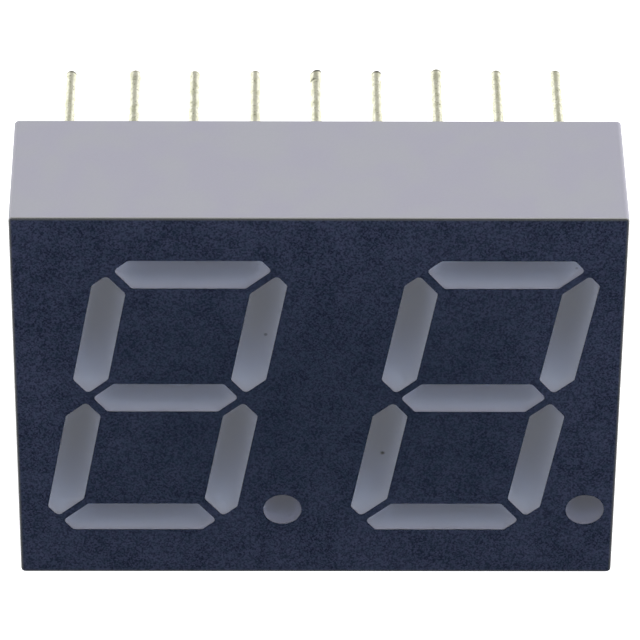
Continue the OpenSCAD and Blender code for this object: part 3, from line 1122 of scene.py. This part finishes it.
    def painted_shade(self, grower: Grower, x: Feed, to_tip: Feed, collar: Feed) -> Socket:
        """Marks the painted shade at the end and in the collar's groove of a pin.

        Args:
            grower: The pin's tree.
            x: Where a point lies across the pin, from -1 to 1.
            to_tip: How far it lies from the tip, in metres.
            collar: How deep in the collar's groove it lies, from 0 to 1.

        Returns:
            The socket of the mark, from 0 to 1.
        """
        fades, stops = (length * MM for length in self.end_length)
        end = grower.times(grower.spread(to_tip, fades, stops, 1.0, 0.0), grower.given["End Shade"],
                           grower.spread(x, *self.end_side, self.end_least, 1.0))
        return grower.maths("MAXIMUM", grower.times(collar, self.collar_shade), end)

    def sizes(self, root: Vector, length: float, number: int) -> dict[str, float | tuple]:
        """Gives the tree's inputs for one pin.

        Args:
            root: The middle of the pin's head, in metres.
            length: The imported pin's whole length in metres.
            number: The pin's number.

        Returns:
            A value for each named input, in metres.
        """
        shape = self.shapes.get(number, PinShape())
        swollen = 0.0 if shape.tip is Tip.PLAIN else self.swell * MM
        rim_from = self.bend_from - self.root
        return {
            "Root": tuple(root), "Length": length - (shape.short + abs(shape.skew)) * MM,
            "Radius": self.radius * MM, "Waver": self.waver * MM * 2, "Dome": self.dome * MM,
            "Swell": swollen, "Collar": 1.0 if shape.tip is Tip.COLLARED else 0.0,
            "Seed": float(number), "Skew": shape.skew * MM, "End Shade": shape.end_shade,
            "Bend": (shape.bend * MM, 0.0, 0.0), "Bend From": rim_from * MM,
            "Bend To": (rim_from + self.bend_over) * MM,
        }

    def build(self) -> list[Piece]:
        """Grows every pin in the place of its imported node.

        Returns:
            The pins.
        """
        material, grower = self.wire.make(), self.tree()
        pieces = []
        for number in range(1, self.count + 1):
            low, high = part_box(f"pin_{number}")
            root = Vector(((low.x + high.x) / 2, low.y, (low.z + high.z) / 2))
            piece = grower.grow(f"dipped_pin_{number}", material,
                                self.sizes(root, high.y - low.y, number))
            pieces.append(stand_for(piece, "tinned_wire", f"pin_{number}"))
        return pieces


@dataclass
class RearPour:
    """The resin poured over the board, drawn up a little at the walls and the pins.

    Attributes:
        wetting: How far the resin reaches into what it touches.
        reach: Over what distance the drawn up resin sinks back.
        last_column: How many pins stand in each half of a row, without the middle one.
    """

    resin: SealResin = field(default_factory=SealResin)
    wetting: float = 0.02
    rise: float = 0.16
    reach: float = 0.28
    pitch: float = 2.54
    row_gap: float = 15.24
    last_column: float = 4.0
    wire_radius: float = 0.24
    columns: int = 180
    lines: int = 132
    layers: int = 2

    def tree(self, values: dict[str, float | tuple]) -> Grower:
        """Builds the tree that grows the pour.

        Args:
            values: A value for each named input, in metres.

        Returns:
            The tree.
        """
        grower = Grower("rear_pour", values)
        given, maths, minus, times = grower.given, grower.maths, grower.minus, grower.times
        block = grower.add("GeometryNodeMeshCube")
        grower.feed(block.inputs["Size"],
                    grower.vector(given["Width"], given["Height"], given["Depth"]))
        for socket, count in (("Vertices X", self.columns), ("Vertices Y", self.lines),
                              ("Vertices Z", self.layers)):
            grower.feed(block.inputs[socket], count)
        x, y, z = grower.parts(grower.position)
        wide, tall = maths("ABSOLUTE", x), maths("ABSOLUTE", y)
        wall = maths("MINIMUM", minus(times(given["Width"], 0.5), wide),
                     minus(times(given["Height"], 0.5), tall))
        column = maths("MINIMUM", maths("ROUND", maths("DIVIDE", wide, given["Pitch"])),
                       self.last_column)
        aside = minus(wide, times(column, given["Pitch"]))
        above = minus(tall, given["Row"])
        away = maths("SQRT", maths("ADD", times(aside, aside), times(above, above)))
        wire = maths("MAXIMUM", minus(away, given["Wire"]), 0.0)
        at_wall, at_wire = (
            maths("EXPONENT", times(maths("DIVIDE", distance, given["Reach"]), -1.0))
            for distance in (wall, wire))
        raised = times(maths("MAXIMUM", at_wall, at_wire), given["Rise"],
                       maths("GREATER_THAN", z, 0.0))
        local = grower.vector(x, maths("ADD", z, raised), times(y, -1.0))
        grower.close(grower.settle(block.outputs["Mesh"], grower.moved(local, given["Middle"])))
        return grower

    def build(self) -> list[Piece]:
        """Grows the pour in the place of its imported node.

        Returns:
            The pour.
        """
        low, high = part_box("rear_seal")
        wetting = Vector.Fill(3, self.wetting * MM)
        low, high = low - wetting, high + wetting
        high.y -= self.wetting * MM
        size, middle = high - low, (low + high) / 2
        values = {"Width": size.x, "Height": size.z, "Depth": size.y, "Rise": self.rise * MM,
                  "Reach": self.reach * MM, "Pitch": self.pitch * MM,
                  "Row": self.row_gap / 2 * MM, "Wire": self.wire_radius * MM,
                  "Middle": tuple(middle)}
        piece = self.tree(values).grow("rear_pour", self.resin.make(), values)
        return [stand_for(piece, "seal_resin", "rear_seal")]


@dataclass
class Studio:
    """The floor, the soft light and the camera.

    Attributes:
        floor_drop: How far the floor lies under the body, so that they don't share a plane.
        sky_from: Between which heights the sky changes, from -1 to 1.
        focal_px: The focal length in pixels of the picture.
        yaw: How far the camera is turned to the right, in degrees.
        pitch: How far the camera looks down, in degrees.
    """

    floor: PaleFloor = field(default_factory=PaleFloor)
    floor_size: float = 4000.0
    floor_drop: float = 0.02
    sky: float = 0.52
    horizon: float = 1.3
    sky_from: Span = (0.30, 0.58)
    white: Colour = (1.0, 1.0, 1.0)
    lamp_size: float = 300.0
    lamp_power: float = 1.08
    lamp_place: Point = (130.0, -250.0, 340.0)
    lamp_aim: Point = (0.0, 0.0, 9.0)
    focal_px: float = 5167.4986
    image_px: float = 640.0
    sensor: float = 36.0
    clip: Span = (0.01, 10.0)
    eye: Point = (-2.0972, -172.6959, 143.0017)
    yaw: float = 0.746
    pitch: float = 37.891
    roll: float = 0.523

    def lay_floor(self) -> None:
        """Lays the floor under the display."""
        half, low = self.floor_size / 2 * MM, -self.floor_drop * MM
        form = bmesh.new()
        bmesh.ops.create_grid(form, x_segments=2, y_segments=2, size=half)
        bmesh.ops.translate(form, verts=form.verts, vec=(0.0, 0.0, low))
        mesh = bpy.data.meshes.new("floor")
        form.to_mesh(mesh)
        form.free()
        floor = bpy.data.objects.new("floor", mesh)
        bpy.context.scene.collection.objects.link(floor)
        floor.data.materials.append(self.floor.make())

    def light(self) -> None:
        """Sets the surround, brighter towards the ground, and one wide soft lamp above."""
        world = bpy.data.worlds.new("surround")
        world.use_nodes = True
        bench = NodeBench(world.node_tree)
        _, _, rise = bench.parts(bench.add("ShaderNodeTexCoord").outputs["Generated"])
        sky = bench.add("ShaderNodeBackground")
        bench.feed(sky.inputs["Color"], (*self.white, 1.0))
        bench.feed(sky.inputs["Strength"],
                   bench.spread(rise, *self.sky_from, self.horizon, self.sky))
        bench.feed(bench.add("ShaderNodeOutputWorld").inputs["Surface"], sky.outputs[0])
        bpy.context.scene.world = world
        lamp = bpy.data.lights.new("soft_lamp", "AREA")
        lamp.size = self.lamp_size * MM
        lamp.energy = self.lamp_power
        holder = bpy.data.objects.new("soft_lamp", lamp)
        holder.location = Vector(self.lamp_place) * MM
        aim = Vector(self.lamp_aim) * MM - holder.location
        holder.rotation_euler = aim.to_track_quat("-Z", "Y").to_euler()
        bpy.context.scene.collection.objects.link(holder)

    def aim_camera(self) -> None:
        """Sets the camera where the photograph was taken from."""
        yaw, pitch, roll = (math.radians(angle) for angle in (self.yaw, self.pitch, self.roll))
        ahead = Vector((math.sin(yaw) * math.cos(pitch), math.cos(yaw) * math.cos(pitch),
                        -math.sin(pitch)))
        right = Vector((math.cos(yaw), -math.sin(yaw), 0.0))
        up = right.cross(ahead)
        turned_right = right * math.cos(roll) + up * math.sin(roll)
        turned_up = up * math.cos(roll) - right * math.sin(roll)
        data = bpy.data.cameras.new("camera")
        data.sensor_width = self.sensor
        data.lens = self.focal_px / self.image_px * self.sensor
        data.clip_start, data.clip_end = self.clip
        camera = bpy.data.objects.new("camera", data)
        turn = Matrix((turned_right, turned_up, -ahead)).transposed().to_4x4()
        camera.matrix_world = Matrix.Translation(Vector(self.eye) * MM) @ turn
        bpy.context.scene.collection.objects.link(camera)
        bpy.context.scene.camera = camera

    def build(self) -> None:
        """Sets up the whole studio, and shows colours as they are."""
        self.lay_floor()
        self.light()
        self.aim_camera()
        bpy.context.scene.view_settings.view_transform = "Standard"
        bpy.context.scene.view_settings.look = "None"


def main() -> None:
    """Builds the sub-assemblies in order and reports their pieces."""
    logging.basicConfig(level=logging.INFO, format="%(message)s")
    Studio().build()
    for assembly in (MouldedBody(), CastBars(), LampBoard(), DippedPins(), RearPour()):
        for piece in assembly.build():
            LOG.info("%s: %s, %d faces", type(assembly).__name__, piece.name,
                     len(piece.data.polygons))


if __name__ == "__main__":
    main()
